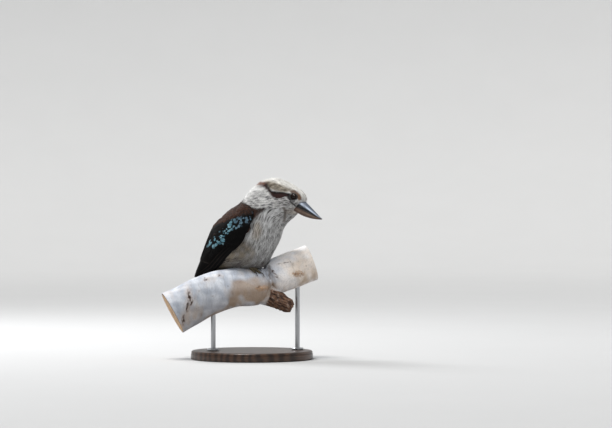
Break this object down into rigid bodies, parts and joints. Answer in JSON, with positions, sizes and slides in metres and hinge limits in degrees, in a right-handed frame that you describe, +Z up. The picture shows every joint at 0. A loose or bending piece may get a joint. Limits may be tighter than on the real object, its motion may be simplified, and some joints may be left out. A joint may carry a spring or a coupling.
{
  "type": "laughing kookaburra on a perch, display model",
  "caption": "Life-size still model of a perched kookaburra, head turned, wings folded, on a short cut length of pale branch held by two rods on a round flat base.",
  "frame": {"origin": "centre of the stand's underside, straight below the point between the bird's feet", "axes": "+X the way the bird's body faces, +Y its left side, +Z up"},
  "size_m": [0.3409, 0.2628, 0.3779],
  "materials": {
    "head_feathers": "matt, feathered",
    "neck_feathers": "matt, feathered",
    "body_feathers": "matt, feathered",
    "wing_feathers": "satin, feathered",
    "tail_feathers": "satin, feathered",
    "bill_upper": "smooth horn, satin",
    "bill_lower": "smooth horn, satin",
    "eye": "wet gloss",
    "foot": "scaly, matt",
    "bark": "smooth pale bark, matt",
    "stand_wood": "dark stain, satin",
    "stand_steel": "brushed",
    "claw": "smooth horn"
  },
  "bodies": {
    "root": {"head": "head_feathers", "neck": "neck_feathers", "trunk": "body_feathers", "wing_left": "wing_feathers", "wing_right": "wing_feathers", "tail": "tail_feathers", "bill_upper": "bill_upper", "bill_lower": "bill_lower", "eye_left": "eye", "eye_right": "eye", "foot_left": "foot", "foot_right": "foot", "perch_branch": "bark", "stand_base": "stand_wood", "stand_rod_lower": "stand_steel", "stand_rod_upper": "stand_steel", "claw_left_outer": "claw", "claw_left_middle": "claw", "claw_left_inner": "claw", "claw_left_hind": "claw", "claw_right_outer": "claw", "claw_right_middle": "claw", "claw_right_inner": "claw", "claw_right_hind": "claw"}
  },
  "joints": []
}
